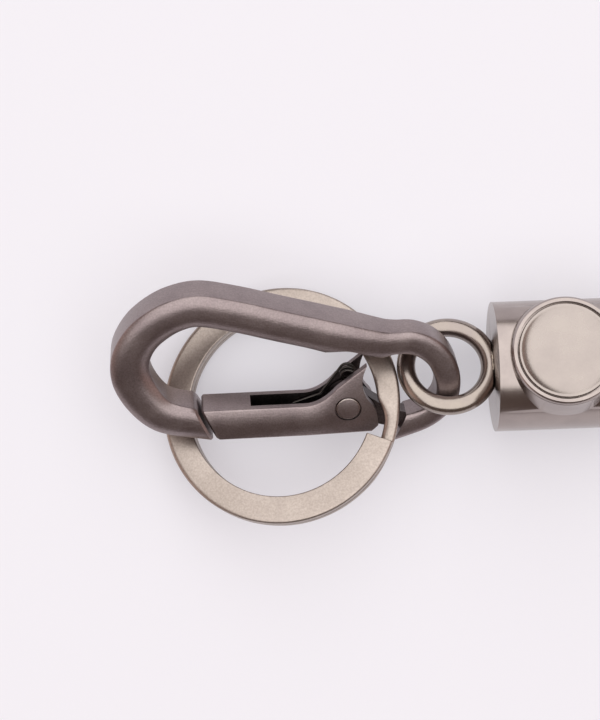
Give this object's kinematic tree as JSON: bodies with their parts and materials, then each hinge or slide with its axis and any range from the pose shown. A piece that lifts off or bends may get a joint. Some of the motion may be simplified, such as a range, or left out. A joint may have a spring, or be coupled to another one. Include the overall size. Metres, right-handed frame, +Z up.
{
  "type": "keychain",
  "caption": "Keychain with a cast snap hook, a sprung gate, a flat split ring, a wire ring, a round ferrule with a plain medallion and a folded leather strap.",
  "frame": {"origin": "bottom centre of the whole object's box as it lies on a table", "axes": "+Z up from the table, +X along the ferrule's axis from the hook towards the strap, +Y across it"},
  "size_m": [0.135, 0.0304, 0.0182],
  "materials": {
    "gunmetal_satin": "zinc die casting, bead-blasted and plated in satin gunmetal",
    "gunmetal_polished": "polished gunmetal plate on steel wire and turned metal",
    "split_ring_plate": "flat steel wire, light gunmetal plate",
    "spring_steel": "bare spring steel",
    "medallion_plate": "satin light gunmetal plate",
    "leather_outer": "smooth full-grain leather, dark brown",
    "leather_lining": "fine lining leather, dark brown"
  },
  "bodies": {
    "ferrule": {"ferrule_body": "gunmetal_polished", "badge_medallion": "medallion_plate", "strap_pin": "spring_steel", "strap_collar": "gunmetal_polished", "strap_outer": "leather_outer", "strap_lining": "leather_lining", "wire_ring": "gunmetal_polished", "braze_bead": "medallion_plate"},
    "hook": {"hook_frame": "gunmetal_satin", "gate_rivet": "gunmetal_satin"},
    "gate": {"hook_gate": "gunmetal_satin", "gate_spring": "spring_steel"},
    "ring": {"split_ring": "split_ring_plate"}
  },
  "joints": [
    {"name": "hook_swing", "type": "hinge", "parent": "ferrule", "child": "hook", "pos_m": [-0.03127, 0.00368, 0.008], "axis": [0, 0.9272, -0.3746], "range_deg": [-3, 20]},
    {"name": "gate_hinge", "type": "hinge", "parent": "hook", "child": "gate", "pos_m": [-0.03875, 0.00008, 0.00724], "axis": [-0.0513, 0.4935, -0.8682], "range_deg": [0, 9], "stiffness_Nm_per_rad": 0.02, "springref_deg": -28.65, "deforming": ["gate_spring"]},
    {"name": "split_ring_swing", "type": "hinge", "parent": "hook", "child": "ring", "pos_m": [-0.03874, -0.00122, 0.0065], "axis": [-0.9987, -0.0297, 0.0421], "range_deg": [0, 50]}
  ]
}
